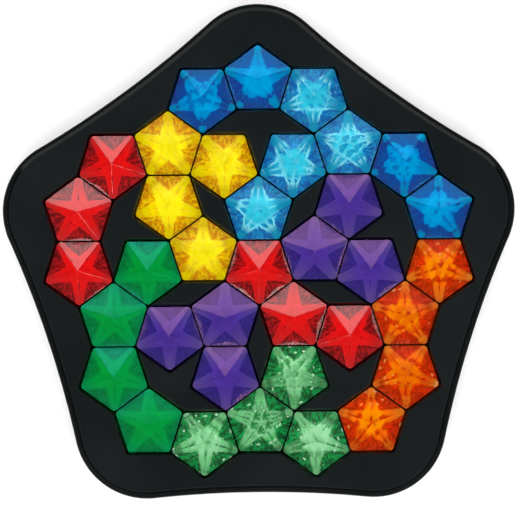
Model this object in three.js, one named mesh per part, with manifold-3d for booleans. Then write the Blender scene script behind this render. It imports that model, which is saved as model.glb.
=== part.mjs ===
// Pentagon gem puzzle: a black two-part tray that holds eleven transparent pieces.
// Every piece is a chain of two, three or four pentagonal gems. All thirty-six gems lie on one
// five-fold pattern of regular pentagons that share edges. Millimetres, +Z up, +Y to the tray's
// top corner. The origin is on the five-fold axis, at the surface that the feet stand on.

import * as THREE from 'three';
import { mergeVertices } from 'three/addons/utils/BufferGeometryUtils.js';
import Module from 'manifold-3d';

const wasm = await Module();
wasm.setup();

const PHI = (1 + Math.sqrt(5)) / 2;
const SIDES = 5;
const TURN = 360 / SIDES;
const HALF_TURN = TURN / 2;
const UP = 90;

// Gems
const PITCH = 20; // between the centres of two gems that share an edge
const GEM_GAP = 0.3; // from a gem's side to the edge of its cell
const GEM_APOTHEM = PITCH / 2 - GEM_GAP;
const GEM_CORNER = 1.1; // radius of a gem's upright corners
const GIRDLE = 2; // height of the upright band round a gem
const CROWN_TILT = 32; // slope of the five upper facets
const PAVILION_TILT = 36; // slope of the five lower facets
const RIDGE_WIDTH = 3.8; // flat cut along each ridge of the underside
const GEM_DEPTH = 5.8; // from the girdle's foot to the small flat tip below
const WEB_LENGTH = 12; // bridge that joins two gems of one piece
const WEB_REACH = 1.3; // how far it goes to each side of the shared edge
const WEB_BOTTOM = 0.2;
const WEB_HEIGHT = 1.4;

// Tray insert
const CORNER_REACH = 91.2; // from the axis to the rounded corner's end
const CORNER_RADIUS = 25;
const SIDE_DISTANCE = 76.6; // from the axis to the middle of a hollowed side
const RIM_WALL = 1.3; // wall of the base, seen as a ledge round the insert
const SEAM = 0.3; // gap between the two shells
const SHELL_WALL = 1.8;
const PLATEAU_EDGE = 1.3; // rounding of the insert's upper edge
const PLATEAU_THICKNESS = 2;
const POCKET_GAP = 0.3; // from the cell's edge to the pocket wall
const POCKET_CORNER = 1.3;
const SOCKET_GAP = 0.3; // under a gem's lower facets

// Heights above the surface that the feet stand on
const BASE_BOTTOM = 1;
const BASE_FLOOR = 2;
const BASE_EDGE = 0.5; // rounding of the base's outer edges
const CAVITY = 1.2; // free height between the base floor and the sockets
const RIM_TOP = 10;
const BASE_TOP = BASE_BOTTOM + BASE_FLOOR;
const SOCKET_BOTTOM = BASE_TOP + CAVITY + SHELL_WALL;
const GIRDLE_FOOT = SOCKET_BOTTOM + SOCKET_GAP + GEM_DEPTH;
const PLATEAU = GIRDLE_FOOT + GIRDLE;

// Screws and feet
const SCREW_CIRCLE = 50.4; // in the middle of the five widest islands
const BOSS_RADIUS = 3.6;
const PAD_RADIUS = 4.6;
const PAD_TOP = 4.4;
const SHANK_RADIUS = 1.3;
const BORE_RADIUS = 1.6;
const BORE_TOP = 12.2;
const SHANK_TOP = 11.8;
const SHANK_TIP = 1.6;
const HEAD_RADIUS = 2.8;
const HEAD_BOTTOM = 1.3;
const HEAD_HEIGHT = 1.5;
const HEAD_EDGE = 0.4;
const COUNTERBORE_RADIUS = 3.2;
const COUNTERBORE_TOP = 3.1;
const CROSS_LENGTH = 3;
const CROSS_WIDTH = 0.7;
const CROSS_DEPTH = 0.9;
const FOOT_CIRCLE = 72;
const FOOT_RADIUS = 7;
const FOOT_TOP = 1.2;
const FOOT_EDGE = 0.3;
const FOOT_RECESS_RADIUS = 7.3;
const FOOT_RECESS_TOP = 1.5;

// The rings of gems: their distance from the axis in pitches, and whether a gem there has a corner
// towards +Y (up) or towards -Y (down).
const RINGS = {
  centre: { distance: 0, up: false },
  inner: { distance: 1, up: true },
  second: { distance: 2 * cos(TURN / 4), up: false },
  side: { distance: PHI * PHI, up: true },
  outer: { distance: 2 * PHI * cos(TURN / 4), up: false },
  corner: { distance: 2 * PHI, up: true },
};

// The pieces: colour of the plastic and the gems of the chain, by ring and direction in degrees.
const PIECES = [
  ['gem_dark_blue_top', 0x1d5fc4, [['corner', 90], ['outer', 108]]],
  ['gem_dark_blue_right', 0x1d5fc4, [['outer', 36], ['corner', 18]]],
  ['gem_light_blue', 0x14a8dc, [['outer', 72], ['side', 54], ['second', 72], ['inner', 90]]],
  ['gem_yellow', 0xf7d900, [['side', 126], ['second', 108], ['second', 144], ['inner', 162]]],
  ['gem_red_left', 0xdc1420, [['outer', 144], ['corner', 162], ['outer', 180]]],
  ['gem_red_centre', 0xdc1420, [['centre', 0], ['inner', 306], ['second', 324]]],
  ['gem_purple_left', 0x5a349b, [['second', 216], ['inner', 234], ['second', 252]]],
  ['gem_purple_right', 0x5a349b, [['second', 36], ['inner', 18], ['second', 0]]],
  ['gem_dark_green', 0x00994a, [['second', 180], ['side', 198], ['outer', 216], ['corner', 234]]],
  ['gem_orange', 0xf0641c, [['outer', 0], ['side', 342], ['outer', 324], ['corner', 306]]],
  ['gem_light_green', 0x5fc878, [['outer', 252], ['side', 270], ['outer', 288], ['second', 288]]],
];

const blackPlastic = { color: 0x1f2324, roughness: 0.5, metalness: 0 };
const blackRubber = { color: 0x141414, roughness: 0.9, metalness: 0 };
const zincSteel = { color: 0xb8bcc0, roughness: 0.35, metalness: 1 };
const CLEAR_ROUGHNESS = 0.05;

function cos(degrees) {
  return Math.cos(THREE.MathUtils.degToRad(degrees));
}

function sin(degrees) {
  return Math.sin(THREE.MathUtils.degToRad(degrees));
}

function tan(degrees) {
  return Math.tan(THREE.MathUtils.degToRad(degrees));
}

function polar(distance, degrees) {
  return new THREE.Vector2(distance * cos(degrees), distance * sin(degrees));
}

// Calls make(direction) for the five directions that start at +Y.
function fiveFold(make) {
  return Array.from({ length: SIDES }, (_, side) => make(UP + TURN * side));
}

function toSolid(geometry) {
  const bare = geometry.clone();
  bare.deleteAttribute('normal');
  bare.deleteAttribute('uv');
  const merged = mergeVertices(bare, 1e-4);
  const vertProperties = merged.attributes.position.array;
  const triVerts = Uint32Array.from(merged.index.array);
  return new wasm.Manifold(new wasm.Mesh({ numProp: 3, vertProperties, triVerts }));
}

function toGeometry(solid) {
  const { vertProperties, triVerts } = solid.getMesh();
  const geometry = new THREE.BufferGeometry();
  geometry.setAttribute('position', new THREE.BufferAttribute(vertProperties, 3));
  geometry.setIndex(new THREE.BufferAttribute(triVerts, 1));
  return geometry;
}

function join(solids) {
  return solids.reduce((whole, solid) => whole.add(solid));
}

// A shape pushed up from one height to another. With a rounding, its upper and lower edges are
// rounded by that much.
function prism(shape, bottom, top, rounding = 0, curveSegments = 4) {
  const geometry = new THREE.ExtrudeGeometry(shape, {
    depth: top - bottom - 2 * rounding,
    bevelEnabled: rounding > 0,
    bevelThickness: rounding,
    bevelSize: rounding,
    bevelOffset: -rounding,
    bevelSegments: rounding > 1 ? 2 : 1,
    curveSegments,
  });
  return toSolid(geometry.translate(0, 0, bottom + rounding));
}

function disc(radius, bottom, top, x = 0, y = 0, segments = 16) {
  const geometry = new THREE.CylinderGeometry(radius, radius, top - bottom, segments);
  return toSolid(geometry.rotateX(Math.PI / 2).translate(x, y, (top + bottom) / 2));
}

function box(width, depth, bottom, top, degrees = 0, x = 0, y = 0) {
  const geometry = new THREE.BoxGeometry(width, depth, top - bottom);
  geometry.rotateZ(THREE.MathUtils.degToRad(degrees));
  return toSolid(geometry.translate(x, y, (top + bottom) / 2));
}

// A closed outline of arcs, each given by centre, radius and its two end directions.
function outlineOfArcs(arcs) {
  const shape = new THREE.Shape();
  for (const { centre, radius, from, to } of arcs) {
    const start = THREE.MathUtils.degToRad(from);
    const end = THREE.MathUtils.degToRad(to);
    shape.absarc(centre.x, centre.y, radius, start, end, to < from);
  }
  return shape;
}

// A regular pentagon with a corner towards +Y and rounded corners.
function pentagon(apothem, cornerRadius) {
  const reach = (apothem - cornerRadius) / cos(HALF_TURN);
  return outlineOfArcs(fiveFold((direction) => ({
    centre: polar(reach, direction),
    radius: cornerRadius,
    from: direction - HALF_TURN,
    to: direction + HALF_TURN,
  })));
}

// The tray's outline: five rounded corners joined by five long hollowed arcs that are tangent to
// them. The side arc's radius follows from that tangency. An inset outline keeps the same centres.
function trayOutline(inset) {
  const cornerCentre = CORNER_REACH - CORNER_RADIUS;
  const along = cornerCentre * cos(HALF_TURN);
  const sideRadius = (cornerCentre ** 2 + SIDE_DISTANCE ** 2 - CORNER_RADIUS ** 2
    - 2 * along * SIDE_DISTANCE) / (2 * (CORNER_RADIUS + along - SIDE_DISTANCE));
  const sideCentre = SIDE_DISTANCE + sideRadius;
  const toSideCentre = polar(sideCentre, HALF_TURN).sub(polar(cornerCentre, 0));
  const halfCorner = THREE.MathUtils.radToDeg(toSideCentre.angle());
  const halfSide = halfCorner - HALF_TURN;
  const arcs = fiveFold((direction) => [
    {
      centre: polar(cornerCentre, direction),
      radius: CORNER_RADIUS - inset,
      from: direction - halfCorner,
      to: direction + halfCorner,
    },
    {
      centre: polar(sideCentre, direction + HALF_TURN),
      radius: sideRadius + inset,
      from: direction + HALF_TURN + 180 + halfSide,
      to: direction + HALF_TURN + 180 - halfSide,
    },
  ]);
  return outlineOfArcs(arcs.flat());
}

// A five-sided pyramid of a given slope with its tip at a height. Its facets face the pentagon's
// sides, or its corners when turned. It widens downwards, or upwards when it is inverted.
function pyramid(tilt, tipHeight, { inverted = false, turned = false } = {}) {
  const height = 30;
  const radius = height / tan(tilt) / cos(HALF_TURN);
  const geometry = new THREE.ConeGeometry(radius, height, SIDES);
  geometry.rotateX(inverted ? -Math.PI / 2 : Math.PI / 2);
  const tipOffset = inverted ? height / 2 : -height / 2;
  geometry.translate(0, 0, tipHeight + tipOffset);
  // Tipped up, the cone has a corner towards -Y, and tipped over, it has one towards +Y.
  const cornerTowardsY = inverted;
  if (cornerTowardsY === turned) geometry.rotateZ(Math.PI);
  return toSolid(geometry);
}

// One gem with a corner towards +Y, its girdle standing on height 0: an upright pentagonal prism
// cut by the crown above, by the facets and by the flat ridge cuts below.
function gemUnit() {
  const facetTip = -GEM_APOTHEM * tan(PAVILION_TILT);
  const ridgeTilt = THREE.MathUtils.radToDeg(Math.atan(tan(PAVILION_TILT) * cos(HALF_TURN)));
  const ridgeTip = facetTip + (RIDGE_WIDTH / 2) * sin(HALF_TURN) * tan(PAVILION_TILT);
  const crownTip = GIRDLE + GEM_APOTHEM * tan(CROWN_TILT);
  return prism(pentagon(GEM_APOTHEM, GEM_CORNER), -GEM_DEPTH, crownTip + 1, 0, 1)
    .intersect(pyramid(CROWN_TILT, crownTip))
    .intersect(pyramid(PAVILION_TILT, facetTip, { inverted: true }))
    .intersect(pyramid(ridgeTilt, ridgeTip, { inverted: true, turned: true }));
}

// The funnel under a gem's lower facets, or with a wall the funnel's outer skin.
function funnel(wall) {
  const drop = (SOCKET_GAP + wall) / cos(PAVILION_TILT);
  const tip = -GEM_APOTHEM * tan(PAVILION_TILT) - drop;
  return pyramid(PAVILION_TILT, tip, { inverted: true });
}

// The hollow that a gem stands in: an upright pentagonal well above its funnel.
function socketWell() {
  const well = pentagon(PITCH / 2 + POCKET_GAP, POCKET_CORNER);
  return prism(well, -GEM_DEPTH - SOCKET_GAP, GIRDLE + 1, 0, 1).intersect(funnel(0));
}

// The plastic that surrounds that hollow below the plateau.
function socketSkin() {
  const reach = (PITCH / 2 + POCKET_GAP + SHELL_WALL) / cos(HALF_TURN);
  const bottom = -GEM_DEPTH - SOCKET_GAP - SHELL_WALL;
  const top = GIRDLE - PLATEAU_THICKNESS / 2;
  const upright = new THREE.CylinderGeometry(reach, reach, top - bottom, SIDES);
  upright.rotateX(-Math.PI / 2).translate(0, 0, (top + bottom) / 2);
  return toSolid(upright).intersect(funnel(SHELL_WALL));
}

// Where a gem stands, and which way it points.
function gemPlace([ring, direction]) {
  const { distance, up } = RINGS[ring];
  const { x, y } = polar(distance * PITCH, direction);
  return { x, y, turn: up ? 0 : 180 };
}

function placed(solid, { x, y, turn }, height = 0) {
  return solid.rotate([0, 0, turn]).translate([x, y, height]);
}

// The bridges between the gems of one chain that share an edge.
function websOf(places) {
  const webs = [];
  places.forEach((a, index) => {
    for (const b of places.slice(index + 1)) {
      const step = new THREE.Vector2(b.x - a.x, b.y - a.y);
      if (step.length() > 1.01 * PITCH) continue;
      const facing = THREE.MathUtils.radToDeg(step.angle());
      const middle = [(a.x + b.x) / 2, (a.y + b.y) / 2];
      const top = WEB_BOTTOM + WEB_HEIGHT;
      webs.push(box(2 * WEB_REACH, WEB_LENGTH, WEB_BOTTOM, top, facing, ...middle));
    }
  });
  return webs;
}

const unit = gemUnit();

function gemPiece(gems) {
  const places = gems.map(gemPlace);
  return join([...places.map((place) => placed(unit, place)), ...websOf(places)]);
}

// The insert: plateau, skirt, thirty-six sockets and five screw bosses in one moulding.
function trayInsert() {
  const places = PIECES.flatMap(([, , gems]) => gems.map(gemPlace));
  const outer = RIM_WALL + SEAM;
  const skirtBottom = BASE_TOP + SEAM;
  const skin = socketSkin();
  const well = socketWell();
  const block = prism(trayOutline(outer), skirtBottom, PLATEAU, PLATEAU_EDGE);
  const hollow = prism(trayOutline(outer + SHELL_WALL), 0, PLATEAU - PLATEAU_THICKNESS);
  const bosses = fiveFold((direction) => {
    const { x, y } = polar(SCREW_CIRCLE, direction);
    return disc(BOSS_RADIUS, PAD_TOP + SEAM, PLATEAU - PLATEAU_THICKNESS / 2, x, y);
  });
  const bores = fiveFold((direction) => {
    const { x, y } = polar(SCREW_CIRCLE, direction);
    return disc(BORE_RADIUS, 0, BORE_TOP, x, y, 12);
  });
  const skins = places.map((place) => placed(skin, place, GIRDLE_FOOT));
  const wells = places.map((place) => placed(well, place, GIRDLE_FOOT));
  return join([block.subtract(hollow), ...skins, ...bosses])
    .subtract(join(wells))
    .subtract(join(bores));
}

// The base: a shallow tub with screw pads inside, counterbores and foot recesses below.
function baseShell() {
  const screwPlaces = fiveFold((direction) => polar(SCREW_CIRCLE, direction));
  const tub = prism(trayOutline(0), BASE_BOTTOM, RIM_TOP, BASE_EDGE);
  const inside = prism(trayOutline(RIM_WALL), BASE_TOP, RIM_TOP + 1);
  const pads = screwPlaces.map(({ x, y }) => disc(PAD_RADIUS, BASE_TOP - 0.5, PAD_TOP, x, y));
  const holes = screwPlaces.flatMap(({ x, y }) => [
    disc(COUNTERBORE_RADIUS, 0, COUNTERBORE_TOP, x, y),
    disc(BORE_RADIUS, 0, PAD_TOP + 1, x, y, 12),
  ]);
  const recesses = footPlaces.map(({ x, y }) => (
    disc(FOOT_RECESS_RADIUS, 0, FOOT_RECESS_TOP, x, y, 24)));
  return join([tub.subtract(inside), ...pads]).subtract(join([...holes, ...recesses]));
}

// A self-tapping screw that points up, with its cross recess below. The thread isn't modelled.
function screwSolid() {
  const shankBottom = HEAD_BOTTOM + HEAD_HEIGHT;
  const profile = [
    [0, HEAD_BOTTOM],
    [HEAD_RADIUS - HEAD_EDGE, HEAD_BOTTOM],
    [HEAD_RADIUS, HEAD_BOTTOM + HEAD_EDGE],
    [HEAD_RADIUS, shankBottom],
    [SHANK_RADIUS, shankBottom],
    [SHANK_RADIUS, SHANK_TOP - SHANK_TIP],
    [0, SHANK_TOP],
  ].map(([radius, height]) => new THREE.Vector2(radius, height));
  const turned = toSolid(new THREE.LatheGeometry(profile, 16).rotateX(Math.PI / 2));
  const crossTop = HEAD_BOTTOM + CROSS_DEPTH;
  return turned
    .subtract(box(CROSS_LENGTH, CROSS_WIDTH, 0, crossTop))
    .subtract(box(CROSS_WIDTH, CROSS_LENGTH, 0, crossTop));
}

// A round rubber pad with a chamfered lower edge.
function footSolid() {
  const profile = [
    [0, 0],
    [FOOT_RADIUS - FOOT_EDGE, 0],
    [FOOT_RADIUS, FOOT_EDGE],
    [FOOT_RADIUS, FOOT_TOP],
    [0, FOOT_TOP],
  ].map(([radius, height]) => new THREE.Vector2(radius, height));
  return toSolid(new THREE.LatheGeometry(profile, 24).rotateX(Math.PI / 2));
}

const footPlaces = [
  new THREE.Vector2(0, 0),
  ...fiveFold((direction) => polar(FOOT_CIRCLE, direction)),
];
const footNames = ['centre', 'top', 'left', 'bottom_left', 'bottom_right', 'right'];
const screwNames = footNames.slice(1);

const group = new THREE.Group();

function addMesh(name, geometry, look, x = 0, y = 0, z = 0) {
  const material = new THREE.MeshStandardMaterial({ ...look, flatShading: true });
  const mesh = new THREE.Mesh(geometry, material);
  mesh.name = name;
  mesh.position.set(x, y, z);
  group.add(mesh);
}

addMesh('tray_insert', toGeometry(trayInsert()), blackPlastic);
addMesh('base_shell', toGeometry(baseShell()), blackPlastic);
for (const [name, color, gems] of PIECES) {
  const look = { color, roughness: CLEAR_ROUGHNESS, metalness: 0 };
  addMesh(name, toGeometry(gemPiece(gems)), look, 0, 0, GIRDLE_FOOT);
}
const screw = toGeometry(screwSolid());
fiveFold((direction) => polar(SCREW_CIRCLE, direction)).forEach(({ x, y }, index) => {
  addMesh(`screw_${screwNames[index]}`, screw, zincSteel, x, y);
});
const foot = toGeometry(footSolid());
footPlaces.forEach(({ x, y }, index) => {
  addMesh(`foot_${footNames[index]}`, foot, blackRubber, x, y);
});

export default group;
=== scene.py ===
# %% [markdown]
# # A tray puzzle of transparent gems
# A black five-cornered tray holds eleven coloured pieces. Each piece is a chain of faceted
# pentagonal gems, moulded in clear plastic. This lesson builds everything from a few rules: where a
# gem lies, what shape it has, and what the plastic does to light.
#
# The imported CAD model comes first. It fixes where every part is, and its box is kept, because the
# looks may not grow past it.

import functools
import math

import bmesh
import bpy
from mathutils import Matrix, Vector, geometry


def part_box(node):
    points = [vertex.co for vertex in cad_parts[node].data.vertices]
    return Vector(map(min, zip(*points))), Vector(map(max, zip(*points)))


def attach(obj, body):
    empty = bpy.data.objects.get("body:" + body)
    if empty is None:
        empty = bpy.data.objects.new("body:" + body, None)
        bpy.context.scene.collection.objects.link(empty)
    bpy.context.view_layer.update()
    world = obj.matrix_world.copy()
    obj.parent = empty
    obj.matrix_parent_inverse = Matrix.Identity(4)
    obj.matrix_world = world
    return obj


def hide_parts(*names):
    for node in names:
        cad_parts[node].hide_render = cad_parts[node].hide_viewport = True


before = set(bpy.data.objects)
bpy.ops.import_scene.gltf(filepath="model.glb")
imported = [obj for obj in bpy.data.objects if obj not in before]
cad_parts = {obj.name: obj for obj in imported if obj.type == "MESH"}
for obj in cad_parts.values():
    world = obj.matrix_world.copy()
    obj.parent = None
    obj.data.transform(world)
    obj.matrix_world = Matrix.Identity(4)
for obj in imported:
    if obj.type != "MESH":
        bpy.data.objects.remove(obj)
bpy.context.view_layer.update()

# %% [markdown]
# Lengths in this script are millimetres and angles are degrees, as on a drawing, and they are
# turned to metres only where a mesh is written. A few small helpers come first: one for the
# trigonometry, one that turns a colour written as a hex number into linear light, and one that adds
# a node to any node tree together with its settings and its links. Where a node is linked from as a
# whole, the link starts at the first of its outputs that is in use.

# %% Helpers
MM = 0.001
SIDES = 5
TURN = 360 / SIDES
HALF_TURN = TURN / 2
UP = 90


def cos(degrees):
    return math.cos(math.radians(degrees))


def sin(degrees):
    return math.sin(math.radians(degrees))


def tan(degrees):
    return math.tan(math.radians(degrees))


def polar(distance, degrees):
    return Vector((distance * cos(degrees), distance * sin(degrees)))


def linear(hex_colour):
    """Red, green, blue and alpha in linear light, from an sRGB colour such as 0x1F2324."""
    channels = [(hex_colour >> shift & 255) / 255 for shift in (16, 8, 0)]
    return *(c / 12.92 if c <= 0.04045 else ((c + 0.055) / 1.055) ** 2.4 for c in channels), 1


def add_node(tree, kind, settings=None, *values, **named):
    """Adds a node. Values fill its inputs in their order, and named ones the inputs of those names. A
    value is a constant, a socket or a node to link from, or a list of such links."""
    node = tree.nodes.new(kind)
    for name, value in (settings or {}).items():
        setattr(node, name, value)
    inputs = list(zip((socket for socket in node.inputs if socket.enabled), values))
    inputs += [(node.inputs[name.replace("_", " ")], value) for name, value in named.items()]
    for socket, value in inputs:
        for source in value if isinstance(value, list) else [value]:
            if isinstance(source, bpy.types.Node):
                source = next(output for output in source.outputs if output.enabled)
            if isinstance(source, bpy.types.NodeSocket):
                tree.links.new(source, socket)
            else:
                socket.default_value = source
    return node


print("0x808080 in linear light:", round(linear(0x808080)[0], 3))

# %% [markdown]
# ## Where the gems lie
# The gems lie on a pattern with five-fold symmetry, in six rings round the middle. A gem points
# either up the tray or down it. Two gems that share an edge are 20 mm apart. Each piece is a list
# of rings and directions, so the whole layout is a short table, and the CAD boxes show whether it
# is right.

# %% The pattern
PITCH = 20
PHI = (1 + math.sqrt(5)) / 2

RING = {  # distance from the middle, and whether the gem points up the tray
    "centre": (0, False),
    "inner": (PITCH, True),
    "second": (2 * cos(TURN / 4) * PITCH, False),
    "side": (PHI * PHI * PITCH, True),
    "outer": (2 * PHI * cos(TURN / 4) * PITCH, False),
    "corner": (2 * PHI * PITCH, True),
}

PIECES = {
    "dark_blue_top": [("corner", 90), ("outer", 108)],
    "dark_blue_right": [("outer", 36), ("corner", 18)],
    "light_blue": [("outer", 72), ("side", 54), ("second", 72), ("inner", 90)],
    "yellow": [("side", 126), ("second", 108), ("second", 144), ("inner", 162)],
    "red_left": [("outer", 144), ("corner", 162), ("outer", 180)],
    "red_centre": [("centre", 0), ("inner", 306), ("second", 324)],
    "purple_left": [("second", 216), ("inner", 234), ("second", 252)],
    "purple_right": [("second", 36), ("inner", 18), ("second", 0)],
    "dark_green": [("second", 180), ("side", 198), ("outer", 216), ("corner", 234)],
    "orange": [("outer", 0), ("side", 342), ("outer", 324), ("corner", 306)],
    "light_green": [("outer", 252), ("side", 270), ("outer", 288), ("second", 288)],
}


def gem_place(ring, direction):
    """A gem's x and y, and how far it is turned."""
    distance, points_up = RING[ring]
    x, y = polar(distance, direction)
    return x, y, 0 if points_up else 180


def bridge_places(places):
    """The middle and the direction of each edge that two gems of one piece share."""
    found = []
    for index, a in enumerate(places):
        for b in places[index + 1 :]:
            step = Vector((b[0] - a[0], b[1] - a[1]))
            if step.length < 1.01 * PITCH:
                facing = math.degrees(math.atan2(step.y, step.x))
                found.append(((a[0] + b[0]) / 2, (a[1] + b[1]) / 2, facing))
    return found


for name, gems in PIECES.items():
    places = [gem_place(*gem) for gem in gems]
    low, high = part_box(f"gem_{name}")
    middle = (low + high) / 2 / MM
    reach = [max(p[axis] for p in places) + min(p[axis] for p in places) for axis in (0, 1)]
    print(f"{name:16} {len(gems)} gems, {len(bridge_places(places))} bridges,",
          f"{abs(middle.x - reach[0] / 2):.1f} mm from its CAD box's middle in x")

# %% [markdown]
# ## Outlines and lofts
# Most shapes here are an outline that is carried from height to height while it grows or shrinks a
# little: the tray's sloping shoulder, a pocket, a rubber pad. So two outlines and one loft cover
# them. A loft joins rings with the same number of points by quads, and closes both ends.

# %% Outlines
CORNER_REACH = 91.2
CORNER_RADIUS = 25
SIDE_DISTANCE = 76.6


def arc(centre, radius, start, end, steps):
    turns = [start + (end - start) * step / steps for step in range(steps + 1)]
    return [Vector(centre) + polar(radius, turn) for turn in turns]


def pentagon(apothem, corner, corner_steps=6, side_steps=4):
    """A regular pentagon with rounded corners, one of them towards +Y."""
    reach = (apothem - corner) / cos(HALF_TURN)
    points = []
    for direction in (UP + TURN * side for side in range(SIDES)):
        points += arc(polar(reach, direction), corner, direction - HALF_TURN,
                      direction + HALF_TURN, corner_steps)
        following = polar(reach, direction + TURN) + polar(corner, direction + HALF_TURN)
        points += [points[-1].lerp(following, step / side_steps) for step in range(1, side_steps)]
    return points


def tray_outline(inset, corner_steps=40, side_steps=28):
    """Five rounded corners, and five long hollowed sides that run into them without a kink."""
    corner_centre = CORNER_REACH - CORNER_RADIUS
    along = corner_centre * cos(HALF_TURN)
    side_radius = (corner_centre**2 + SIDE_DISTANCE**2 - CORNER_RADIUS**2
                   - 2 * along * SIDE_DISTANCE) / (2 * (CORNER_RADIUS + along - SIDE_DISTANCE))
    side_centre = SIDE_DISTANCE + side_radius
    to_side = polar(side_centre, HALF_TURN) - polar(corner_centre, 0)
    half_corner = math.degrees(math.atan2(to_side.y, to_side.x))
    half_side = half_corner - HALF_TURN
    points = []
    for direction in (UP + TURN * side for side in range(SIDES)):
        points += arc(polar(corner_centre, direction), CORNER_RADIUS - inset,
                      direction - half_corner, direction + half_corner, corner_steps)[:-1]
        back = direction + HALF_TURN + 180
        points += arc(polar(side_centre, direction + HALF_TURN), side_radius + inset,
                      back + half_side, back - half_side, side_steps)[:-1]
    return points


def circle(radius, steps=48):
    return [polar(radius, 360 * step / steps) for step in range(steps)]


def at_height(outline, height):
    return [Vector((point.x, point.y, height)) for point in outline]


def to_object(name, mesh_data):
    """Writes a bmesh in millimetres as an object in metres, without linking it to the scene."""
    bmesh.ops.recalc_face_normals(mesh_data, faces=mesh_data.faces)
    bmesh.ops.scale(mesh_data, vec=(MM, MM, MM), verts=mesh_data.verts)
    mesh = bpy.data.meshes.new(name)
    mesh_data.to_mesh(mesh)
    mesh_data.free()
    return bpy.data.objects.new(name, mesh)


def loft(rings):
    """A closed bmesh that runs through rings of equally many points."""
    made = bmesh.new()
    rows = [[made.verts.new(point) for point in ring] for ring in rings]
    count = len(rows[0])
    for lower, upper in zip(rows, rows[1:]):
        for index in range(count):
            after = (index + 1) % count
            made.faces.new((lower[index], lower[after], upper[after], upper[index]))
    made.faces.new(rows[0])
    made.faces.new(rows[-1])
    return made


outline = tray_outline(0)
print("tray outline:", round(max(p.x for p in outline) - min(p.x for p in outline), 2), "by",
      round(max(p.y for p in outline) - min(p.y for p in outline), 2), "mm")

# %% [markdown]
# ## One gem
# A gem is a five-sided pyramid over an upright band, the girdle, over a deeper pyramid that points
# down. The lower pyramid's facets are polished, but its five ridges are rounded, about as wide as a
# pencil lead's sleeve, and were left matt by the mould. Seen from above they are the arms of the
# bright star inside each gem: the matt strips catch the light that the polished facets let pass.
#
# The underside follows a rule, so its height is a function of x and y: a flat facet, or a cylinder
# along a ridge, or a small ball at the tip. The flat outline is first cut into triangles along the
# lines where a facet ends and a ridge starts, so the star gets straight, clean edges.

# %% The underside's rule
GIRDLE = 2.0
GEM_APOTHEM = 9.7
GEM_CORNER = 1.1
CROWN_TILT = 32
PAVILION_TILT = 36
RIDGE_RADIUS = 5.5
RIDGE_STEPS = 8
SIDE_DIRECTIONS = [UP + HALF_TURN + TURN * side for side in range(SIDES)]
CORNER_DIRECTIONS = [UP + TURN * side for side in range(SIDES)]


def nearest_side(point):
    """How far a point lies towards its nearest side, and that side's direction."""
    return max((point.dot(polar(1, direction)), direction) for direction in SIDE_DIRECTIONS)


def on_facet(point):
    """True where the underside is a flat facet, and false on its rounded ridges and tip."""
    _, direction = nearest_side(point)
    foot = point - polar(RIDGE_RADIUS * sin(PAVILION_TILT), direction)
    outward = foot.dot(polar(1, direction))
    sideways = abs(foot.dot(polar(1, direction + 90)))
    return outward > -1e-6 and sideways <= outward * tan(HALF_TURN) + 1e-6


def underside(point):
    """The height of a gem's underside, counted from the girdle's lower edge."""
    distance, _ = nearest_side(point)
    if on_facet(point):
        return -(GEM_APOTHEM - distance) * tan(PAVILION_TILT)
    apex = -GEM_APOTHEM * tan(PAVILION_TILT) + RIDGE_RADIUS / cos(PAVILION_TILT)
    corner = max(CORNER_DIRECTIONS, key=lambda direction: point.dot(polar(1, direction)))
    ridge = Vector((*polar(1, corner), tan(PAVILION_TILT) * cos(HALF_TURN))).normalized()
    flat = point.length_squared
    along = point.dot(ridge.xy)
    a = 1 - ridge.z**2
    b = -2 * along * ridge.z
    c = flat - along**2 - RIDGE_RADIUS**2
    drop = (-b - math.sqrt(max(b * b - 4 * a * c, 0))) / (2 * a)
    if along + drop * ridge.z >= 0:
        return apex + drop
    return apex - math.sqrt(RIDGE_RADIUS**2 - flat)


ridge_width = 2 * RIDGE_RADIUS * sin(PAVILION_TILT) * sin(HALF_TURN)
print("ridges", round(ridge_width, 2), "mm wide, tip", round(underside(Vector((0, 0))), 2), "mm")

# %% A gem's outline, cut along its ridges
def inside(point, border):
    """True where a convex outline that runs anticlockwise holds the point."""
    return all((b - a).cross(point - a) > 0 for a, b in zip(border, border[1:] + border[:1]))


def cut_outline():
    """Flat points and triangles inside a gem's outline, with edges along every ridge."""
    border = pentagon(GEM_APOTHEM, GEM_CORNER, corner_steps=8, side_steps=2)
    points = [Vector(p) for p in border]
    edges = [(index, (index + 1) % len(border)) for index in range(len(border))]
    half = ridge_width / 2
    for direction in CORNER_DIRECTIONS:
        for step in range(RIDGE_STEPS + 1):
            offset = polar(half * (2 * step / RIDGE_STEPS - 1), direction + 90)
            edges.append((len(points), len(points) + 1))
            points += [offset, offset + polar(14, direction)]
    flat, _, faces, *_ = geometry.delaunay_2d_cdt(points, edges, [], 0, 1e-4)
    kept = []
    for face in faces:
        middle = sum((flat[index] for index in face), Vector((0, 0))) / len(face)
        if inside(middle, border):
            kept.append(face)
    return flat, kept


flat_points, flat_faces = cut_outline()
print("underside:", len(flat_faces), "triangles")

# %% [markdown]
# The crown on top is built from the same border points, so that the girdle between them is a clean
# band of quads. Its edges are broken by less than a tenth of a millimetre, as polished mould steel
# leaves them. The gem carries a map for its material, with every corner's place in mm from its
# middle, and an attribute, lower, that is 1 on the faces of the underside.

# %% The gem
EDGE_BREAK = 0.07


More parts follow.
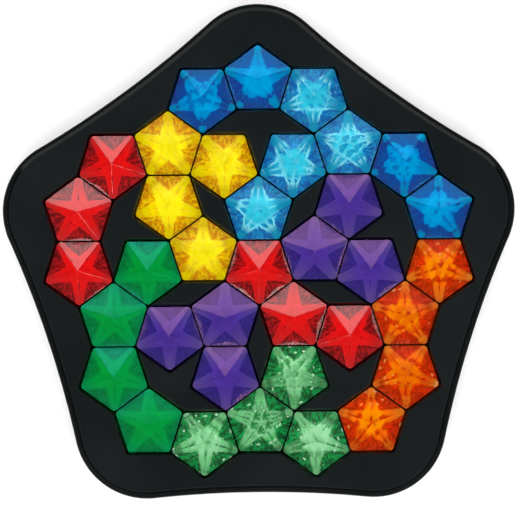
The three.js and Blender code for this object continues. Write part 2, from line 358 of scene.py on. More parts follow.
def make_gem():
    made = bmesh.new()
    lower = made.faces.layers.float.new("lower")
    below = {}
    for index in sorted({index for face in flat_faces for index in face}):
        point = flat_points[index]
        below[index] = made.verts.new((point.x, point.y, underside(point)))
    for corners in flat_faces:
        made.faces.new([below[index] for index in corners])[lower] = 1.0
    rim = [vert for vert in made.verts if vert.is_boundary]
    rim.sort(key=lambda vert: math.atan2(vert.co.y, vert.co.x))
    upper = []
    for vert in rim:
        distance, _ = nearest_side(vert.co.xy)
        height = GIRDLE + (GEM_APOTHEM - distance) * tan(CROWN_TILT)
        upper.append(made.verts.new((vert.co.x, vert.co.y, height)))
    count = len(rim)
    for index in range(count):
        after = (index + 1) % count
        made.faces.new((rim[index], rim[after], upper[after], upper[index]))
    tip = made.verts.new((0, 0, GIRDLE + GEM_APOTHEM * tan(CROWN_TILT)))
    corners = [index for index, vert in enumerate(upper)
               if any((vert.co.xy.normalized() - polar(1, direction)).length < 1e-3
                      for direction in CORNER_DIRECTIONS)]
    for start, end in zip(corners, corners[1:] + [corners[0] + count]):
        made.faces.new([tip] + [upper[index % count] for index in range(start, end + 1)])
    rim_edges = [edge for edge in made.edges if all(vert in upper for vert in edge.verts)]
    ridges = [edge for edge in made.edges if tip in edge.verts]
    bmesh.ops.bevel(made, geom=rim_edges + ridges, offset=EDGE_BREAK, segments=2,
                    profile=0.5, affect="EDGES")
    spot = made.loops.layers.uv.new("gem")
    for face in made.faces:
        for corner in face.loops:
            corner[spot].uv = corner.vert.co.xy
    return made


gem = to_object("gem unit", make_gem())
print("gem:", len(gem.data.vertices), "points")

# %% [markdown]
# ## A chain of gems
# A piece is the same gem repeated, so Geometry Nodes set it out. The tree takes a few loose points,
# one for each gem and one for each bridge, puts the right shape on each with its turn, and joins
# them into one closed body. Joining matters in clear plastic: walls left inside it would bend the
# light twice.

# %% A tree with named inputs
BOOLEAN = "GeometryNodeMeshBoolean"
JOIN = {"operation": "UNION", "solver": "MANIFOLD"}
CUT = {"operation": "DIFFERENCE", "solver": "MANIFOLD"}


def new_tree(name, **kinds):
    """An empty tree with a geometry input and output and further named inputs, and what each input
    brings: an object brings its shape."""
    tree = bpy.data.node_groups.new(name, "GeometryNodeTree")
    for label, kind in {"Geometry": "Geometry", **kinds}.items():
        tree.interface.new_socket(label, in_out="INPUT", socket_type=f"NodeSocket{kind}")
    tree.interface.new_socket("Geometry", in_out="OUTPUT", socket_type="NodeSocketGeometry")
    sockets = add_node(tree, "NodeGroupInput").outputs
    given = {"Geometry": sockets["Geometry"]}
    for label, kind in kinds.items():
        given[label] = sockets[label]
        if kind == "Object":
            shape = add_node(tree, "GeometryNodeObjectInfo", Object=sockets[label])
            given[label] = shape.outputs["Geometry"]
    return tree, given


def close_tree(tree, result, material):
    """The end of every tree: real geometry in one material."""
    real = add_node(tree, "GeometryNodeRealizeInstances", Geometry=result)
    filled = add_node(tree, "GeometryNodeSetMaterial", Geometry=real, Material=material)
    add_node(tree, "NodeGroupOutput", Geometry=filled)
    return tree


# %% The tree that repeats and joins
def set_out(tree, points, shape):
    """Puts a shape on every point, turned about Z by the point's turn."""
    turn = add_node(tree, "GeometryNodeInputNamedAttribute", {"data_type": "FLOAT"}, Name="turn")
    turned = add_node(tree, "ShaderNodeCombineXYZ", Z=turn)
    rotation = add_node(tree, "FunctionNodeEulerToRotation", Euler=turned)
    return add_node(tree, "GeometryNodeInstanceOnPoints", Points=points, Instance=shape,
                    Rotation=rotation)


def chain_tree():
    tree, given = new_tree("chain of gems", Gem="Object", Bridge="Object", Plastic="Material")
    mark = add_node(tree, "GeometryNodeInputNamedAttribute", {"data_type": "BOOLEAN"}, Name="bridge")
    split = add_node(tree, "GeometryNodeSeparateGeometry", {"domain": "POINT"},
                     Geometry=given["Geometry"], Selection=mark)
    bridges = set_out(tree, split.outputs["Selection"], given["Bridge"])
    gems = set_out(tree, split.outputs["Inverted"], given["Gem"])
    joined = add_node(tree, BOOLEAN, JOIN, Mesh_2=[bridges, gems])
    return close_tree(tree, joined, given["Plastic"])


# %% Points to set shapes on, and the grown piece
def points_object(name, places, bridges=(), height=0.0):
    """Loose points, each with its turn, and with a mark on those that carry a bridge."""
    mesh = bpy.data.meshes.new(name)
    everything = [*places, *bridges]
    mesh.from_pydata([(x * MM, y * MM, height * MM) for x, y, _ in everything], [], [])
    turn = mesh.attributes.new("turn", "FLOAT", "POINT")
    mark = mesh.attributes.new("bridge", "BOOLEAN", "POINT")
    for index, (_, _, degrees) in enumerate(everything):
        turn.data[index].value = math.radians(degrees)
        mark.data[index].value = index >= len(places)
    return bpy.data.objects.new(name, mesh)


def grown(name, source, tree, **values):
    """Runs a tree on an object and returns the result as a plain mesh object."""
    bpy.context.scene.collection.objects.link(source)
    modifier = source.modifiers.new("tree", "NODES")
    modifier.node_group = tree
    sockets = {item.name: item.identifier for item in tree.interface.items_tree
               if item.in_out == "INPUT"}
    for label, value in values.items():
        modifier[sockets[label]] = value
    evaluated = source.evaluated_get(bpy.context.evaluated_depsgraph_get())
    mesh = bpy.data.meshes.new_from_object(evaluated)
    mesh.name = name
    bpy.data.objects.remove(source)
    made = bpy.data.objects.new(name, mesh)
    bpy.context.scene.collection.objects.link(made)
    return made


chain = chain_tree()
print("tree inputs:", [item.name for item in chain.interface.items_tree if item.in_out == "INPUT"])

# %% [markdown]
# ## Clear coloured plastic
# The gems are moulded in clear polystyrene with a dye in it. Two things make their colour. The dye
# takes light away along its path, so a long path is deep and a short one pale: that is a Volume
# Absorption. The rest is the underside, which scatters what reaches it: strongly and in a bright
# colour on the rounded ridges, the arms of the star, and less and in a deep colour on the facets
# between them.
#
# Most of this is drawn with noise. A pattern's scale follows from the width in mm of what it draws,
# so a helper turns the one into the other. The finest grain of moulded plastic is too small to see
# at this distance, so it is drawn about a millimetre wide.

# %% Helpers for materials
MATH = "ShaderNodeMath"
RANGE = "ShaderNodeMapRange"
MIX = "ShaderNodeMix"
NOISE = "ShaderNodeTexNoise"
SURFACE = "ShaderNodeBsdfPrincipled"
OUTPUT = "ShaderNodeOutputMaterial"
TIMES = {"operation": "MULTIPLY"}
LESS = {"operation": "SUBTRACT"}
LARGER = {"operation": "MAXIMUM"}
TIMES_PLUS = {"operation": "MULTIPLY_ADD"}
SIZE_OF = {"operation": "ABSOLUTE"}
SOFT = {"interpolation_type": "SMOOTHSTEP"}  # makes a Map Range run softly, and in either direction
COLOURS = {"data_type": "RGBA"}
WHITE = (1.0, 1.0, 1.0, 1.0)


def features(width):
    """The scale of a texture whose features are this many mm wide."""
    return 1 / (width * MM)


def empty_material(name):
    """A material without nodes, a function that adds one, and the place on the object."""
    material = bpy.data.materials.new(name)
    material.use_nodes = True
    material.node_tree.nodes.clear()
    add = functools.partial(add_node, material.node_tree)
    return material, add, add("ShaderNodeTexCoord").outputs["Object"]


print("features 2 mm wide need the scale", features(2))

# %% [markdown]
# Where an arm ends is worked out from the map that the gem carries. The turn about the middle is
# folded like a paper star, so one rule does for all five arms. A slow noise makes their edges
# waver, as the flow in the mould did, and may break an arm halfway.

# %% Where a point lies in its star
BREAK_START, BREAK_END = 4.0, 9.0  # mm from the middle


def star_map(add, place, inner, outer, waver, broken):
    """The turn and distance from the gem's middle, and how many mm inside an arm's edge it is."""
    spot = add("ShaderNodeUVMap", {"uv_map": "gem"})
    split = add("ShaderNodeSeparateXYZ", None, spot)
    turn = add(MATH, {"operation": "ARCTAN2"}, split.outputs["X"], split.outputs["Y"])
    radius = add("ShaderNodeVectorMath", {"operation": "LENGTH"}, spot)
    folded = add(MATH, {"operation": "PINGPONG"}, turn, math.radians(HALF_TURN))
    beside = add(MATH, TIMES, radius, add(MATH, {"operation": "SINE"}, folded))

    flow = add(NOISE, Vector=place, Scale=features(3.333))
    drift = add(MATH, TIMES_PLUS, flow, waver, -waver / 2)
    breaks = add(NOISE, Vector=place, Scale=features(9.091), Detail=0.0)
    begun = add(RANGE, SOFT, radius, BREAK_START, BREAK_START + 1.5)
    ended = add(RANGE, SOFT, radius, BREAK_END, BREAK_END - 1.0)
    midway = add(MATH, TIMES, begun, ended)
    dim = add(MATH, TIMES, add(RANGE, SOFT, breaks, 0.48, 0.6), midway)

    tapered = add(RANGE, SOFT, radius, 0.0, 9.0, inner, outer)
    wavering = add(MATH, {"operation": "ADD"}, tapered, drift)
    half_width = add(MATH, TIMES_PLUS, dim, -broken, wavering)
    return turn, radius, add(MATH, LESS, half_width, beside)


print("an arm can break", BREAK_START, "to", BREAK_END, "mm from the middle")

# %% How much of the star is at a point
def star_strength(add, place, radius, margin, soft, thin, hollow):
    """1 in an arm and 0 beside it, paler in places, and with hollows near the heart. Also the patches
    that the hollows follow, and 1 near the heart."""
    clouds = add(NOISE, Vector=place, Scale=features(5.882))
    clouds = add(RANGE, SOFT, clouds, 0.38, 0.58, thin, 1.0)
    inside = add(RANGE, SOFT, margin, -soft, soft)
    patches = add(NOISE, Vector=place, Scale=features(3.846), Detail=1.0)
    near = add(RANGE, SOFT, radius, 5.0, 3.8)
    hole = add(RANGE, SOFT, patches, 0.56, 0.63)
    hole = add(MATH, TIMES, add(MATH, TIMES, hole, near), hollow)
    solid = add(MATH, LESS, 1.0, hole)
    cloudy = add(MATH, TIMES, inside, clouds)
    return add(MATH, TIMES, cloudy, solid), patches, near


# %% The underside's colour
def star_colour(add, turn, radius, patches, in_arm, arm, facet, streak, heart):
    """Facets with streaks that run out from the middle, arms, and a ragged heart, painted paler than
    the arms in most colours as a painted highlight where the arms meet.
    """
    rays = add("ShaderNodeCombineXYZ", None, turn, radius, patches)
    rays = add("ShaderNodeVectorMath", TIMES, rays, (6.0, 0.25, 2.0))
    streaks = add(NOISE, Vector=rays, Scale=1.2)
    streaks = add(RANGE, SOFT, streaks, 0.4, 0.62)
    colour = add(MIX, COLOURS, streaks, facet, streak)
    colour = add(MIX, COLOURS, in_arm, colour, arm)
    # Painted highlight: the heart colour, paler than the arms in most plastics, is painted on the arms
    # near the middle.
    ragged = add(MATH, TIMES_PLUS, patches, 6.0, radius)
    core = add(RANGE, SOFT, ragged, 7.5, 4.5)
    return add(MIX, COLOURS, add(MATH, TIMES, core, in_arm), colour, heart)


# %% [markdown]
# In the clearest colours, thin white lines along the arms' edges and round the hollows, and glints on
# the facets, are painted highlights, painted white into the underside. The lines are thin bands of the
# distances and of the noise that are there already, and the glints are the cells of a Voronoi texture,
# cut down to their middles.

# %% Painted highlights: white lines and glints
def painted_highlights(add, place, radius, margin, patches, near, highlight_lines, sparkle):
    # Painted highlights: thin white lines along the arms' edges and round the hollows, and white
    # glints on the facets.
    aside = add(MATH, SIZE_OF, add(MATH, LESS, margin, 0.3))
    edges = add(RANGE, SOFT, aside, 0.7, 0.3)
    edges = add(MATH, TIMES, edges, add(RANGE, SOFT, radius, 8.0, 5.5))
    aside = add(MATH, SIZE_OF, add(MATH, LESS, patches, 0.55))
    loops = add(RANGE, SOFT, aside, 0.055, 0.03)
    loops = add(MATH, TIMES, loops, near)
    gaps = add(NOISE, Vector=place, Scale=features(7.692), Detail=1.0)
    gaps = add(RANGE, SOFT, gaps, 0.37, 0.5)
    lines = add(MATH, TIMES, add(MATH, LARGER, edges, loops), gaps)
    lines = add(MATH, TIMES, lines, highlight_lines)

    cells = add("ShaderNodeTexVoronoi", {"distance": "MANHATTAN"}, Vector=place, Scale=features(2.632))
    chosen = add(RANGE, SOFT, cells.outputs["Color"], 0.66, 0.68)
    middles = add(RANGE, SOFT, cells.outputs["Distance"], 0.4, 0.33)
    glints = add(MATH, TIMES, middles, chosen)
    return add(MATH, LARGER, lines, add(MATH, TIMES, glints, sparkle))


# %% [markdown]
# The dye is shared out between the depth and the underside. A share of the arm's colour is left to
# the depth, and what the underside shows is divided by it, so that an arm seen through the gem has
# its full colour again.

# %% The plastic
SHORT_PATH = 14  # mm, down through a gem and back up
SCATTER_IN_ARM = 0.85
MATT = 0.5
POLYSTYRENE_IOR = 1.59


def absorption(colour, path):
    """The colour and density that leave white light with this colour after a path in mm."""
    per_metre = [-math.log(max(c, 0.004)) / (path * MM) for c in colour[:3]]
    density = max(per_metre)
    return (*(1 - c / density for c in per_metre), 1), density


def dyed_plastic(name, arm, facet, streak, heart, *, arms=(1.4, 1.1), soft=0.2, thin=0.9, waver=0.6,
                 broken=0.0, hollow=0.0, highlight_lines=0.0, sparkle=0.0, glow=0.7, dye=0.5, polish=0.02,
                 ripple=0.3, sheen=0x303030):
    """Clear plastic from hex colours: of the arms, of the facets, of the streaks in them, and of the
    star's heart, which is painted paler than the arms in most colours as a painted highlight. In mm:
    the arms' half width near the heart and at the corners, how softly their edge fades, how far it
    wavers, and how much narrower a break makes it. From 0 to 1: how dense their pale places are
    (thin), the hollows, the white lines painted as highlights, the painted glints, the scatter beside
    the arms (glow), the share of colour in the depth (dye), and the crown's roughness (polish), waves
    (ripple) and colour of reflection (sheen)."""
    material, add, place = empty_material(name)
    depth_part = [max(c, 0.01)**dye for c in linear(arm)[:3]]
    rest = [(*(min(1.0, c / p) for c, p in zip(linear(colour), depth_part)), 1)
            for colour in (arm, facet, streak, heart)]

    turn, radius, margin = star_map(add, place, *arms, waver, broken)
    in_arm, patches, near = star_strength(add, place, radius, margin, soft, thin, hollow)
    colour = star_colour(add, turn, radius, patches, in_arm, *rest)
    highlight_paint = painted_highlights(add, place, radius, margin, patches, near, highlight_lines, sparkle)
    # The painted highlights are mixed in as white, and further down they also scatter light as the
    # arms do.
    colour = add(MIX, COLOURS, highlight_paint, colour, WHITE)

    lower = add("ShaderNodeAttribute", {"attribute_name": "lower"}).outputs["Fac"]
    grain = add(NOISE, Vector=place, Scale=features(0.909), Detail=4.0)
    veil = add(RANGE, SOFT, grain, 0.35, 0.6, 0.7, 1.15)
    veil = add(MATH, TIMES, veil, glow)
    scatter = add(MIX, None, in_arm, veil, SCATTER_IN_ARM)
    scatter = add(MATH, LARGER, scatter, highlight_paint)
    clear = add(MATH, LESS, 1.0, add(MATH, TIMES, scatter, lower))
    colour = add(MIX, COLOURS, lower, WHITE, colour)
    surface = add(SURFACE, Base_Color=colour, IOR=POLYSTYRENE_IOR,
                  Roughness=add(MIX, None, lower, polish, MATT),
                  Specular_Tint=linear(sheen), Transmission_Weight=clear,
                  Normal=add("ShaderNodeBump", Strength=ripple, Distance=0.03 * MM, Height=grain))
    dye_colour, density = absorption(depth_part, SHORT_PATH)
    depth = add("ShaderNodeVolumeAbsorption", Color=dye_colour, Density=density)
    add(OUTPUT, Surface=surface, Volume=depth)
    print(f"{name}: density {density:.0f} per metre")
    return material


# %% Eight colours
PLASTICS = {
    "dark_blue": dyed_plastic("dark blue clear polystyrene", 0x00A8E4, 0x28269C, 0x1C48AC, 0x00C0EC,
                              arms=(2.0, 0.8), soft=0.5, waver=1.6, broken=1.2, hollow=0.5,
                              sheen=0x00C0FF),
    "light_blue": dyed_plastic("light blue clear polystyrene", 0x08B0D4, 0x0450B8, 0x0898DC,
                               0x50E0F0, arms=(1.8, 1.0), soft=0.35, thin=0.7, waver=1.0,
                               broken=0.4, hollow=0.5, highlight_lines=1.0, sparkle=0.3, dye=0.25,
                               sheen=0x60B0C8),
    "yellow": dyed_plastic("yellow clear polystyrene", 0xFFF000, 0xD87C00, 0xFFD400, 0xFFFF30,
                           soft=0.4, thin=0.6, waver=1.2, broken=0.4, highlight_lines=0.2, dye=0.4),
    "red": dyed_plastic("red clear polystyrene", 0xF81C1E, 0x480002, 0xC81018, 0xF01C1E,
                        sheen=0xFFFFFF),
    "purple": dyed_plastic("purple clear polystyrene", 0x6850B0, 0x30268A, 0x3C30A0, 0x6C50B4,
                           waver=0.3, polish=0.08, ripple=0.05, sheen=0xFFB0C8),
    "dark_green": dyed_plastic("dark green clear polystyrene", 0x00B44C, 0x008838, 0x009C44,
                               0x00B44C, arms=(1.5, 1.2), soft=0.6, waver=0.3, polish=0.18,
                               ripple=0.05, sheen=0x40D0FF),
    "orange": dyed_plastic("orange clear polystyrene", 0xFF8818, 0xB40000, 0xF02C08, 0xFFC800,
                           arms=(1.3, 0.9), soft=0.5, thin=0.5, waver=1.2, broken=0.6, hollow=0.8,
                           sparkle=0.8, dye=0.5),
    "light_green": dyed_plastic("light green clear polystyrene", 0x84DC94, 0x004C20, 0x00A850,
                                0xD0F4D8, arms=(1.3, 0.9), soft=0.5, thin=0.25, waver=1.0,
                                broken=0.4, hollow=0.8, highlight_lines=0.3, sparkle=1.0, glow=0.85,
                                dye=0.4),
}

# %% [markdown]
# The bridge between two gems is a small block with broken edges, sunk well into both of them. It is
# clear all round, as a crown is, so the seam over it looks dark. The pieces are then grown one by one.
# Each stands for its CAD node and moves with that node's body.

# %% The eleven pieces
BRIDGE_LENGTH = 12
BRIDGE_REACH = 1.3
BRIDGE_BOTTOM = 0.2
BRIDGE_TOP = 1.6
BRIDGE_EDGE = 0.2
GEM_DEPTH = 5.8


def make_bridge():
    made = bmesh.new()
    bmesh.ops.create_cube(made, size=1)
    bmesh.ops.scale(made, vec=(2 * BRIDGE_REACH, BRIDGE_LENGTH, BRIDGE_TOP - BRIDGE_BOTTOM),
                    verts=made.verts)
    bmesh.ops.translate(made, vec=(0, 0, (BRIDGE_TOP + BRIDGE_BOTTOM) / 2), verts=made.verts)
    bmesh.ops.bevel(made, geom=made.edges[:], offset=BRIDGE_EDGE, segments=2, profile=0.5,
                    affect="EDGES")
    made.loops.layers.uv.new("gem")
    made.faces.layers.float.new("lower")
    return made


def even_shading(piece, angle=20):
    """Smooth curves, crisp edges, and flat faces that stay flat beside them."""
    for face in piece.data.polygons:
        face.use_smooth = True
    piece.data.set_sharp_from_angle(angle=math.radians(angle))
    even = piece.modifiers.new("even shading", "WEIGHTED_NORMAL")
    even.keep_sharp = True


def stands_for(piece, nodes, body):
    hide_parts(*nodes)
    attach(piece, body)


girdle_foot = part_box("gem_yellow")[0].z / MM + GEM_DEPTH
bridge = to_object("bridge unit", make_bridge())
for name, gems in PIECES.items():
    places = [gem_place(*gem) for gem in gems]
    plastic = next(colour for colour in PLASTICS if name.startswith(colour))
    spots = points_object(name, places, bridge_places(places), girdle_foot)
    piece = grown(f"{name}_gems", spots, chain, Gem=gem, Bridge=bridge, Plastic=PLASTICS[plastic])
    even_shading(piece)
    stands_for(piece, [f"gem_{name}"], f"piece_{name}")
    print(piece.name, len(piece.data.polygons), "faces")

# %% [markdown]
# ## The black tray
# The tray is moulded in black ABS. The flat faces of its mould were eroded by sparks, which leaves a
# fine even grain that scatters a little light. Faces that point up are coloured dark grey, and walls
# and slopes are painted a deeper black according to which way they face in the world: painted shade.
# The shoulder's slope is smoother too. The insert is a slab with that sloping shoulder, and thirty-six
# wells cut out of it. A well follows its gem: a pentagon above, a funnel of five facets below. Its
# mouth flares steeply by half a millimetre, which makes the black band round the gems.

# %% Black plastic
def black_abs():
    material, add, place = empty_material("black ABS, spark-eroded grain")
    grain = add(NOISE, Vector=place, Scale=features(0.3846))
    patches = add(NOISE, Vector=place, Scale=features(22.22), Detail=3.0)
    # Painted shade: walls and slopes, picked out by which way each face points in the world, are
    # painted a deeper black (0x030405) than faces that point up.
    facing = add("ShaderNodeNewGeometry").outputs["True Normal"]
    upright = add("ShaderNodeSeparateXYZ", None, facing).outputs["Z"]
    flat = add(RANGE, SOFT, upright, 0.86, 0.96)
    colour = add(MIX, COLOURS, patches, linear(0x0A0E0F), linear(0x101415))
    colour = add(MIX, COLOURS, flat, linear(0x030405), colour)
    no_wall = add(RANGE, SOFT, upright, 0.6, 0.75)
    slope = add(MATH, TIMES, add(MATH, LESS, 1.0, flat), no_wall)
    rough = add(RANGE, SOFT, patches, 0.3, 0.7, 0.28, 0.34)
    rough = add(MATH, TIMES, rough, add(MIX, None, slope, 1.0, 0.35))
    raised = add("ShaderNodeBump", Strength=0.3, Distance=0.01 * MM, Height=grain)
    surface = add(SURFACE, Base_Color=colour, IOR=1.53, Roughness=rough,
                  Specular_IOR_Level=0.12, Normal=raised)
    add(OUTPUT, Surface=surface)
    return material


ABS = black_abs()
print(ABS.name, "has", len(ABS.node_tree.nodes), "nodes")

# %% The slab and a well
RIM_WALL = 1.3
SEAM = 0.3
SHOULDER = [(1.3, 0), (1.22, 0.01), (1.14, 0.06), (0.1, 0.71), (0.02, 0.8), (0, 0.9)]  # mm in, mm down
WELL_APOTHEM = PITCH / 2 + 0.3
WELL_CORNER = 1.3
WELL_GAP = 0.3
MOUTH = [(0, 0.9), (0.42, 0.12), (0.5, 0.03), (0.6, 0)]  # mm outwards, and mm below the top


def make_slab(bottom, top):
    outer = RIM_WALL + SEAM
    rings = [at_height(tray_outline(outer + inset), top - drop) for inset, drop in SHOULDER]
    return loft([*rings, at_height(tray_outline(outer), bottom)])


def make_well():
    """A well with its gem's girdle foot at height 0."""
    zero = GEM_APOTHEM + WELL_GAP / sin(PAVILION_TILT)
    floor = -GEM_DEPTH - WELL_GAP
    wall = pentagon(WELL_APOTHEM, WELL_CORNER, corner_steps=6, side_steps=2)
    flat = zero + floor / tan(PAVILION_TILT)
    rings = [at_height([p * flat / nearest_side(p)[0] for p in wall], floor)]
    rings.append([Vector((p.x, p.y, (nearest_side(p)[0] - zero) * tan(PAVILION_TILT))) for p in wall])
    for flare, depth in MOUTH:
        mouth = pentagon(WELL_APOTHEM + flare, WELL_CORNER + flare, corner_steps=6, side_steps=2)
        rings.append(at_height(mouth, GIRDLE - depth))
    rings.append(at_height(mouth, GIRDLE + 0.5))
    return loft(rings)


def pockets_tree():
    tree, given = new_tree("wells cut out of a slab", Places="Object", Well="Object",
                           Plastic="Material")
    wells = set_out(tree, given["Places"], given["Well"])
    cut = add_node(tree, BOOLEAN, CUT, Mesh_1=given["Geometry"], Mesh_2=wells)
    return close_tree(tree, cut, given["Plastic"])


low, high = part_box("tray_insert")
all_places = [gem_place(*gem) for gems in PIECES.values() for gem in gems]
slab = to_object("slab", make_slab(low.z / MM, high.z / MM))
well = to_object("well", make_well())
spots = points_object("gem places", all_places, height=girdle_foot)
insert = grown("tray_insert_shell", slab, pockets_tree(), Places=spots, Well=well, Plastic=ABS)
even_shading(insert, 30)
stands_for(insert, ["tray_insert"], "tray")
print(insert.name, len(insert.data.polygons), "faces, pockets for", len(all_places), "gems")

# %% [markdown]
# ## The base
# The base is a shallow tub. Only its rim shows from above, as a thin ledge round the insert. Its
# underside has five counterbores for the screws and six shallow round recesses for the pads, and
# inside it has a raised pad round each screw hole.

# %% The base
SCREW_CIRCLE = 50.4
FOOT_CIRCLE = 72
BASE_FLOOR_TOP = 3
OUTER_EDGE = 0.5
INNER_EDGE = 0.15
EDGE_STEPS = 6
CLEARANCE = 0.1  # keeps the smooth outline inside the box of the CAD model's straight edges


def around(distance, turn=0.0):
    return [(*polar(distance, UP + TURN * side), turn) for side in range(SIDES)]


def rounding(edge):
    """How far in and how far up or down each step of a rounded edge lies, from its flat face on."""
    turns = [90 * step / EDGE_STEPS for step in range(EDGE_STEPS + 1)]
    return [(edge * (1 - sin(turn)), edge * (1 - cos(turn))) for turn in turns]


def make_tub(bottom, top):
    edge = rounding(OUTER_EDGE)
    rings = [at_height(tray_outline(CLEARANCE + inset), bottom + rise) for inset, rise in edge]
    rings += [at_height(tray_outline(CLEARANCE + inset), top - drop) for inset, drop in edge[::-1]]
    rings.append(at_height(tray_outline(RIM_WALL - INNER_EDGE), top))
    rings.append(at_height(tray_outline(RIM_WALL), top - INNER_EDGE))
    rings.append(at_height(tray_outline(RIM_WALL), BASE_FLOOR_TOP))
    return loft(rings)


def base_tree():
    tree, given = new_tree("screw pads, counterbores and recesses", Screws="Object", Feet="Object",
                           Pad="Object", Counterbore="Object", Recess="Object", Plastic="Material")
    pads = set_out(tree, given["Screws"], given["Pad"])
    bores = set_out(tree, given["Screws"], given["Counterbore"])
    recesses = set_out(tree, given["Feet"], given["Recess"])
    padded = add_node(tree, BOOLEAN, JOIN, Mesh_2=[given["Geometry"], pads])
    cut = add_node(tree, BOOLEAN, CUT, Mesh_1=padded, Mesh_2=[bores, recesses])
    return close_tree(tree, cut, given["Plastic"])


def turned(name, profile, sides=48):
    """A round shape from pairs of a radius and a height."""
    rings = [at_height(circle(radius, sides), height) for radius, height in profile]
    return to_object(name, loft(rings))


low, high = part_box("base_shell")
tub = to_object("tub", make_tub(low.z / MM, high.z / MM))
pad = turned("pad", [(4.6, 2.5), (4.6, 4.4)])
counterbore = turned("counterbore", [(3.2, 0), (3.2, 3.1), (1.6, 3.1), (1.6, 5.4)])
recess = turned("recess", [(7.3, 0), (7.3, 1.5)], sides=64)
screw_spots = points_object("screw places", around(SCREW_CIRCLE))
foot_spots = points_object("foot places", [(0, 0, 0), *around(FOOT_CIRCLE)])
base = grown("base_tub", tub, base_tree(), Screws=screw_spots, Feet=foot_spots, Pad=pad,
             Counterbore=counterbore, Recess=recess, Plastic=ABS)
even_shading(base, 30)
stands_for(base, ["base_shell"], "tray")
print(base.name, len(base.data.polygons), "faces")

# %% [markdown]
# ## Screws
# Five self-tapping screws point up into the insert's bosses. The shank is a lathed shape whose
# radius also grows and shrinks round each turn, which makes a thread. A cross is cut into the head.

# %% Zinc-plated steel and the screws
def zinc_steel():
    material, add, place = empty_material("zinc-plated steel")
    crystals = add("ShaderNodeTexVoronoi", Vector=place, Scale=features(0.4545)).outputs["Distance"]
    surface = add(SURFACE, Metallic=1.0,
                  Base_Color=add(MIX, COLOURS, crystals, linear(0xC9CDD0), linear(0xAEB3B8)),
                  Roughness=add(RANGE, None, crystals, 0.0, 1.0, 0.25, 0.42))
    add(OUTPUT, Surface=surface)
    return material


HEAD_BOTTOM = 1.3
HEAD_TOP = 2.8
SHANK_TOP = 11.8
THREAD_PITCH = 1.1
THREAD_HEIGHT = 0.32
CORE_RADIUS = 0.95
TIP_RADIUS = 0.15
TIP_LENGTH = 1.6


def thread_radius(height, direction):
    """Core radius plus the thread's ridge, which fades out at the head and the tip."""
    phase = (height / THREAD_PITCH - direction / 360) % 1
    ridge = max(0.0, 1 - abs(phase - 0.5) / 0.28)
    taper = min(1.0, (SHANK_TOP - height) / TIP_LENGTH)
    fade = min(taper, (height - HEAD_TOP) / 0.8)
    core = TIP_RADIUS + (CORE_RADIUS - TIP_RADIUS) * taper
    return core + THREAD_HEIGHT * ridge * max(0.0, fade)


def make_screw():
    steps = 24
    head = [(2.2, HEAD_BOTTOM), (2.55, HEAD_BOTTOM + 0.12), (2.75, HEAD_BOTTOM + 0.4),
            (2.75, HEAD_TOP - 0.1), (2.65, HEAD_TOP), (1.3, HEAD_TOP)]
    rings = [at_height(circle(radius, steps), height) for radius, height in head]
    rows = round((SHANK_TOP - HEAD_TOP) / 0.11)
    for row in range(1, rows + 1):
        height = HEAD_TOP + (SHANK_TOP - HEAD_TOP) * row / rows
        turns = [360 * step / steps for step in range(steps)]
        points = [polar(thread_radius(height, turn), turn) for turn in turns]
        rings.append(at_height(points, height))
    return loft(rings)


def make_cross():
    arm, half = 1.5, 0.35
    corner = [(arm, -half), (arm, half), (half, half)]
    outline = [polar(x, turn) + polar(y, turn + 90) for turn in (0, 90, 180, 270) for x, y in corner]
    return loft([at_height(outline, 0), at_height(outline, HEAD_BOTTOM),
                 at_height([p * 0.6 for p in outline], HEAD_BOTTOM + 0.9)])


def screws_tree():
    tree, given = new_tree("screws round the tray", Blank="Object", Cross="Object", Steel="Material")
    cut = add_node(tree, BOOLEAN, CUT, Mesh_1=given["Blank"], Mesh_2=given["Cross"])
    return close_tree(tree, set_out(tree, given["Geometry"], cut), given["Steel"])


WAYS = ["top", "left", "bottom_left", "bottom_right", "right"]
blank = to_object("screw blank", make_screw())
cross = to_object("cross", make_cross())
spots = points_object("screw spots", around(SCREW_CIRCLE))
screws = grown("five_screws", spots, screws_tree(), Blank=blank, Cross=cross, Steel=zinc_steel())
even_shading(screws, 35)
stands_for(screws, [f"screw_{way}" for way in WAYS], "tray")
print(screws.name, len(screws.data.polygons), "faces")

# %% [markdown]
# ## Rubber pads
# Six round pads keep the tray from sliding. They are punched from sheet rubber, with a soft lower
# edge and a surface that is dusty rather than shiny.

# %% Rubber and the pads
def pad_rubber():
    material, add, place = empty_material("black sheet rubber")
    dust = add(NOISE, Vector=place, Scale=features(1.111), Detail=4.0)
    surface = add(SURFACE,
                  Base_Color=add(MIX, COLOURS, dust, linear(0x121212), linear(0x242424)),
                  Roughness=add(RANGE, None, dust, 0.0, 1.0, 0.75, 0.95),
                  Normal=add("ShaderNodeBump", Strength=0.4, Distance=0.03 * MM, Height=dust))
    add(OUTPUT, Surface=surface)
    return material


FOOT_RADIUS = 7
FOOT_EDGE = 0.35


def feet_tree():
    tree, given = new_tree("pads under the tray", Foot="Object", Rubber="Material")
    return close_tree(tree, set_out(tree, given["Geometry"], given["Foot"]), given["Rubber"])


low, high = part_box("foot_centre")
lower_edge = [(FOOT_RADIUS - inset, low.z / MM + rise) for inset, rise in rounding(FOOT_EDGE)]
foot = turned("foot", [*lower_edge, (FOOT_RADIUS, high.z / MM)], sides=64)
spots = points_object("foot spots", [(0, 0, 0), *around(FOOT_CIRCLE)])
feet = grown("six_pads", spots, feet_tree(), Foot=foot, Rubber=pad_rubber())
even_shading(feet, 30)
stands_for(feet, [f"foot_{way}" for way in ["centre", *WAYS]], "tray")
print(feet.name, len(feet.data.polygons), "faces")

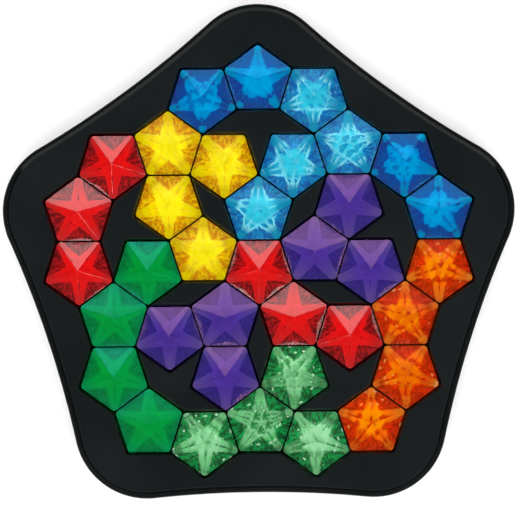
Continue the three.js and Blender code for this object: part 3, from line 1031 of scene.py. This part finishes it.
# %% [markdown]
# ## The studio
# A plain pale floor, and light from all round. Glass shows its surroundings, so the light is shaped
# by what each surface should mirror. Straight above it is dark, which keeps the black tray black. A
# bright ring at 38 to 55 degrees, brightest in front, lights the gems through their crowns. Under
# it lies a dim band, which is what the crown's facets mirror towards a camera above, so they stay
# clear. Only the far side has a large window there, and it lays a pale sheen on the facets that
# face it.

# %% Floor, light and camera
FLOOR_HALF = 3  # metres
FLOOR_DROP = 0.2


def pale_floor():
    material, add, place = empty_material("pale matt paper")
    fibres = add(NOISE, Vector=place, Scale=features(16.67), Detail=3.0)
    colour = add(MIX, COLOURS, fibres, linear(0xEDEDED), linear(0xF2F2F2))
    surface = add(SURFACE, Base_Color=colour, Roughness=0.9)
    add(OUTPUT, Surface=surface)
    return material


floor_mesh = bpy.data.meshes.new("floor")
corners = [(x * FLOOR_HALF, y * FLOOR_HALF, 0) for x, y in ((-1, -1), (1, -1), (1, 1), (-1, 1))]
floor_mesh.from_pydata(corners, [], [(0, 1, 2, 3)])
floor_mesh.materials.append(pale_floor())
floor = bpy.data.objects.new("floor", floor_mesh)
floor.location.z = -FLOOR_DROP * MM
bpy.context.scene.collection.objects.link(floor)

RING_STRENGTH = 4.0
world = bpy.data.worlds.new("light tent")
bpy.context.scene.world = world
world.use_nodes = True
tree = world.node_tree
tree.nodes.clear()
add = functools.partial(add_node, tree)
split = add("ShaderNodeSeparateXYZ", None, add("ShaderNodeTexCoord").outputs["Generated"])
tent = add("ShaderNodeValToRGB", Fac=split.outputs["Z"])
# how bright the tent is at each elevation in degrees
bands = [(0, 0.2), (15, 0.2), (19, 0.02), (33, 0.02), (38, 1.0), (55, 1.0), (61, 0.01), (90, 0.01)]
ramp = tent.color_ramp
while len(ramp.elements) < len(bands):
    ramp.elements.new(0.5)
for element, (elevation, grey) in zip(ramp.elements, bands):
    element.position = sin(elevation)
    element.color = (grey, grey, grey, 1)
front = add(RANGE, SOFT, split.outputs["Y"], 0.8, -0.8, 0.6, 1.5)
brightness = add(MATH, TIMES, front, RING_STRENGTH)
add("ShaderNodeOutputWorld", Surface=add("ShaderNodeBackground", None, tent, brightness))


def window(name, azimuth, elevation, width, height, radiance, distance=0.9):
    """A soft box that faces the tray. Its power follows from how bright it should look."""
    lamp = bpy.data.lights.new(name, "AREA")
    lamp.shape = "RECTANGLE"
    lamp.size, lamp.size_y = width, height
    lamp.energy = radiance * math.pi * width * height
    box = bpy.data.objects.new(name, lamp)
    out = Vector((cos(azimuth) * cos(elevation), sin(azimuth) * cos(elevation), sin(elevation)))
    box.location = out * distance
    box.rotation_euler = out.to_track_quat("Z", "Y").to_euler()
    box.visible_camera = False
    bpy.context.scene.collection.objects.link(box)
    return box


window("far window", 90, 26, 2.2, 0.3, 2.3)

camera_data = bpy.data.cameras.new("camera")
camera_data.lens = 161
camera_data.sensor_width = 36
camera = bpy.data.objects.new("camera", camera_data)
camera.location = (1.01 * MM, 4.72 * MM, 0.814)
camera.rotation_euler = (0, 0, -0.0075)
bpy.context.scene.collection.objects.link(camera)
bpy.context.scene.camera = camera
bpy.context.scene.view_settings.view_transform = "Standard"
print("camera", [round(c, 4) for c in camera.location])
